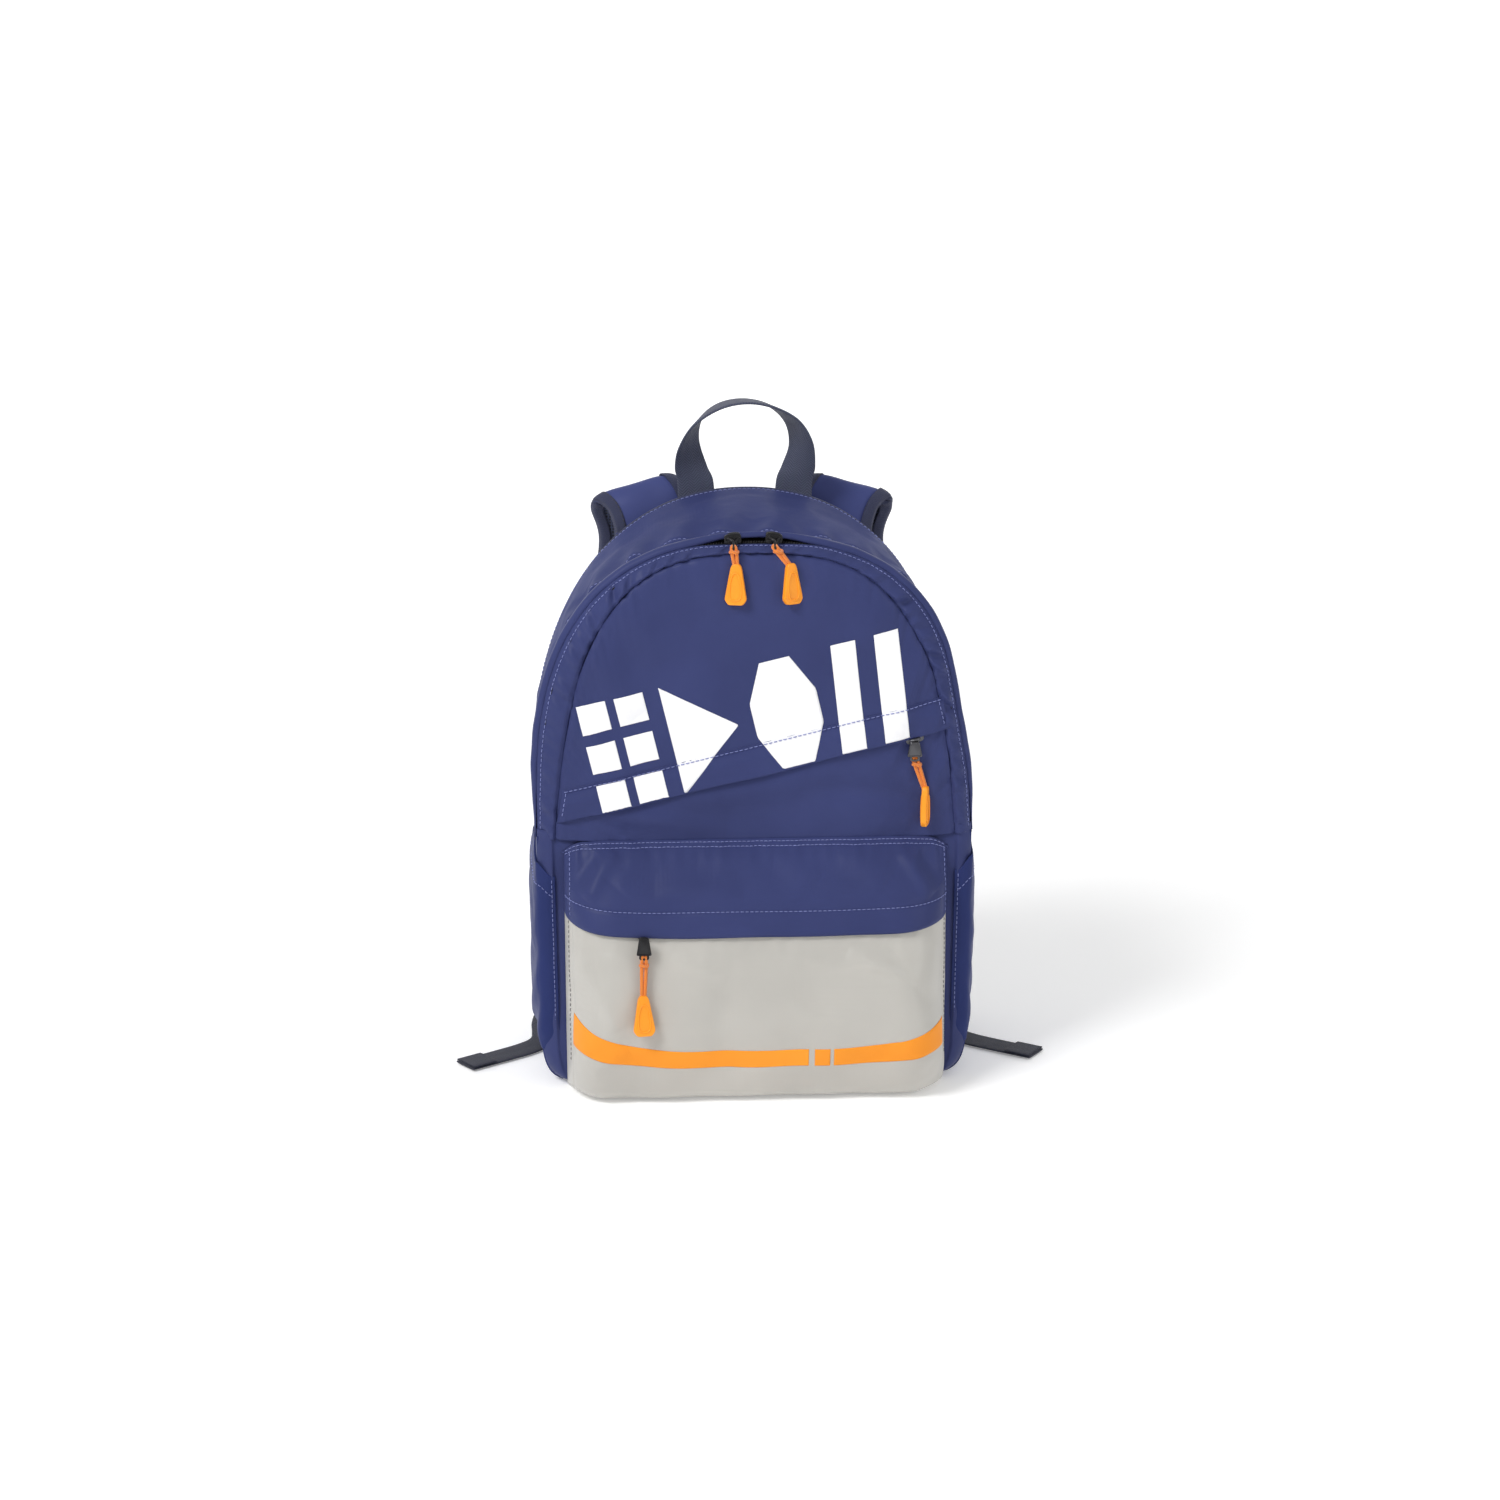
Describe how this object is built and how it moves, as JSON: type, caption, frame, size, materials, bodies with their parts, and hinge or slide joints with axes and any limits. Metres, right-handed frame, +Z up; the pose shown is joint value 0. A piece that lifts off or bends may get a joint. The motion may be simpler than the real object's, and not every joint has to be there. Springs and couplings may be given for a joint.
{
  "type": "school backpack",
  "caption": "Arched school day pack with two-way main zip, diagonal welt pocket, front pocket, side pockets, grab handle and padded shoulder straps.",
  "frame": {"origin": "centre of the flat base under the main compartment", "axes": "+Z up, -Y out of the front of the bag, +X to the viewer's right when facing the front"},
  "size_m": [0.42, 0.2347, 0.4599],
  "materials": {
    "navy_fabric": "smooth coated polyester, satin",
    "navy_side": "smooth coated polyester, darker satin",
    "grey_reflective": "warm grey reflective-look coated cloth, with one orange printed band",
    "handle_webbing": "ribbed herringbone webbing",
    "dark_webbing": "flat woven polypropylene webbing",
    "strap_fabric": "coated cloth over foam, bound edges",
    "air_mesh": "open spacer mesh",
    "foam": "open-cell foam, light as cloth",
    "board": "plastic stiffener sheet",
    "zip_tape": "woven zip tape",
    "zip_coil": "nylon coil",
    "black_metal": "black painted zinc",
    "grey_metal": "gunmetal zinc",
    "black_plastic": "acetal buckle",
    "orange_cord": "braided cord",
    "orange_rubber": "soft moulded tag, satin"
  },
  "bodies": {
    "pack": {"back_board": "board", "back_foam": "foam", "back_mesh": "air_mesh", "top_gusset": "navy_fabric", "left_side_panel": "navy_side", "right_side_panel": "navy_side", "base_panel": "navy_side", "base_board": "board", "lower_front_panel": "navy_fabric", "left_side_pocket": "navy_side", "right_side_pocket": "navy_side", "arch_piping": "navy_fabric", "main_zip_rear_tape": "zip_tape", "main_zip_rear_coil": "zip_coil", "front_pocket_flap": "navy_fabric", "front_pocket_shell": "grey_reflective", "pocket_zip_upper": "zip_tape", "pocket_zip_lower": "zip_tape", "strap_yoke": "navy_fabric", "left_anchor_tab": "dark_webbing", "right_anchor_tab": "dark_webbing", "left_lower_webbing": "dark_webbing", "right_lower_webbing": "dark_webbing", "left_strap_tail": "dark_webbing", "right_strap_tail": "dark_webbing"},
    "front_panel": {"front_panel": "navy_fabric", "zip_strip": "navy_fabric", "welt_flap": "navy_fabric", "welt_zip": "zip_tape", "main_zip_front_tape": "zip_tape", "main_zip_front_coil": "zip_coil"},
    "left_main_slider": {"left_main_slider": "black_metal"},
    "left_main_bail": {"left_main_bail": "black_metal"},
    "left_main_pull": {"left_main_cord": "orange_cord", "left_main_tag": "orange_rubber"},
    "right_main_slider": {"right_main_slider": "black_metal"},
    "right_main_bail": {"right_main_bail": "black_metal"},
    "right_main_pull": {"right_main_cord": "orange_cord", "right_main_tag": "orange_rubber"},
    "pocket_slider": {"pocket_slider": "black_metal"},
    "pocket_puller": {"pocket_puller": "black_metal"},
    "pocket_pull": {"pocket_cord": "orange_cord", "pocket_tag": "orange_rubber"},
    "welt_slider": {"welt_slider": "grey_metal"},
    "welt_puller": {"welt_puller": "grey_metal"},
    "welt_pull": {"welt_cord": "orange_cord", "welt_tag": "orange_rubber"},
    "handle": {"grab_handle": "handle_webbing"},
    "left_strap": {"left_shoulder_strap": "strap_fabric", "left_ladder_lock": "black_plastic"},
    "right_strap": {"right_shoulder_strap": "strap_fabric", "right_ladder_lock": "black_plastic"}
  },
  "joints": [
    {"name": "front_panel_fold", "type": "hinge", "parent": "pack", "child": "front_panel", "pos_m": [0, -0.0615, 0.176], "axis": [1, 0, 0], "range_deg": [0, 34]},
    {"name": "left_main_slide", "type": "hinge", "parent": "front_panel", "child": "left_main_slider", "pos_m": [0, -0.053, 0.169], "axis": [0, 1, 0], "range_deg": [-21, 1.8]},
    {"name": "left_main_bail_swing", "type": "hinge", "parent": "left_main_slider", "child": "left_main_bail", "pos_m": [-0.01502, -0.053, 0.38067], "axis": [0, 1, 0], "range_deg": [-1.8, 21]},
    {"name": "left_main_pull_lift", "type": "hinge", "parent": "left_main_bail", "child": "left_main_pull", "pos_m": [-0.01502, -0.0664, 0.37667], "axis": [-1, 0, 0], "range_deg": [0, 100]},
    {"name": "right_main_slide", "type": "hinge", "parent": "front_panel", "child": "right_main_slider", "pos_m": [0, -0.053, 0.169], "axis": [0, 1, 0], "range_deg": [-1.8, 21]},
    {"name": "right_main_bail_swing", "type": "hinge", "parent": "right_main_slider", "child": "right_main_bail", "pos_m": [0.01266, -0.053, 0.38082], "axis": [0, 1, 0], "range_deg": [-21, 1.8]},
    {"name": "right_main_pull_lift", "type": "hinge", "parent": "right_main_bail", "child": "right_main_pull", "pos_m": [0.01266, -0.0664, 0.37682], "axis": [-1, 0, 0], "range_deg": [0, 100]},
    {"name": "pocket_slide", "type": "slide", "parent": "pack", "child": "pocket_slider", "axis": [1, 0, 0], "range_m": [-0.004, 0.15]},
    {"name": "pocket_puller_lift", "type": "hinge", "parent": "pocket_slider", "child": "pocket_puller", "pos_m": [-0.078, -0.1109, 0.1164], "axis": [-1, 0, 0], "range_deg": [0, 100]},
    {"name": "pocket_pull_lift", "type": "hinge", "parent": "pocket_puller", "child": "pocket_pull", "pos_m": [-0.078, -0.1133, 0.0998], "axis": [-1, 0, 0], "range_deg": [0, 60]},
    {"name": "welt_slide", "type": "slide", "parent": "front_panel", "child": "welt_slider", "axis": [-0.9731, 0, -0.2302], "range_m": [-0.008, 0.04]},
    {"name": "welt_puller_lift", "type": "hinge", "parent": "welt_slider", "child": "welt_puller", "pos_m": [0.1079, -0.0682, 0.24107], "axis": [-1, 0, 0], "range_deg": [0, 90]},
    {"name": "welt_pull_lift", "type": "hinge", "parent": "welt_puller", "child": "welt_pull", "pos_m": [0.1079, -0.0688, 0.22677], "axis": [-1, 0, 0], "range_deg": [0, 60]},
    {"name": "handle_swing", "type": "hinge", "parent": "pack", "child": "handle", "pos_m": [0, 0.06, 0.4], "axis": [1, 0, 0], "range_deg": [-45, 60], "stiffness_Nm_per_rad": 0.02},
    {"name": "left_strap_swing", "type": "hinge", "parent": "pack", "child": "left_strap", "pos_m": [-0.062, 0.076, 0.372], "axis": [1, 0, 0], "range_deg": [0, 18]},
    {"name": "right_strap_swing", "type": "hinge", "parent": "pack", "child": "right_strap", "pos_m": [0.062, 0.076, 0.372], "axis": [1, 0, 0], "range_deg": [0, 18]}
  ],
  "couplings": [
    {"joint": "left_main_bail_swing", "follows": "left_main_slide", "ratio": -1},
    {"joint": "right_main_bail_swing", "follows": "right_main_slide", "ratio": -1},
    {"joint": "welt_puller_lift", "follows": "front_panel_fold", "ratio": 1}
  ]
}
